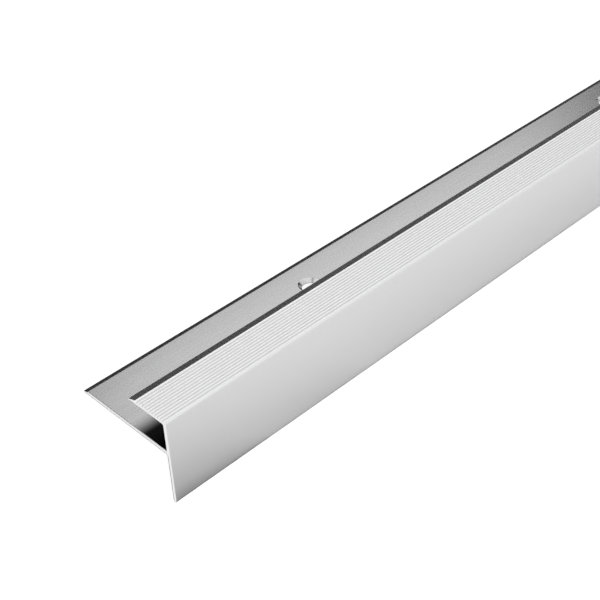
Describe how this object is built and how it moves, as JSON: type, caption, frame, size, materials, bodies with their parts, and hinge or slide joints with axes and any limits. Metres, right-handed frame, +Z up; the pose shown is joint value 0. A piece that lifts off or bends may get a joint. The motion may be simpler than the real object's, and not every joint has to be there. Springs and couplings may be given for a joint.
{
  "type": "stair nosing",
  "caption": "Extruded stair nosing with a drilled base flange, a front apron and a grooved tread flange, and a slot between for the floor covering.",
  "frame": {"origin": "centre of the bounding box on the floor, with the bar lying unheld on the apron's toe and the base flange's heel", "axes": "+X along the bar, +Y from the apron towards the base flange's heel, +Z up. The section lies turned 25.41 degrees about X from its installed attitude, heel down"},
  "size_m": [1, 0.0524, 0.0339],
  "materials": {
    "anodised_aluminium": "natural silver anodised, satin, with a fine grain along the bar"
  },
  "bodies": {
    "root": {"nosing_profile": "anodised_aluminium"}
  },
  "joints": []
}
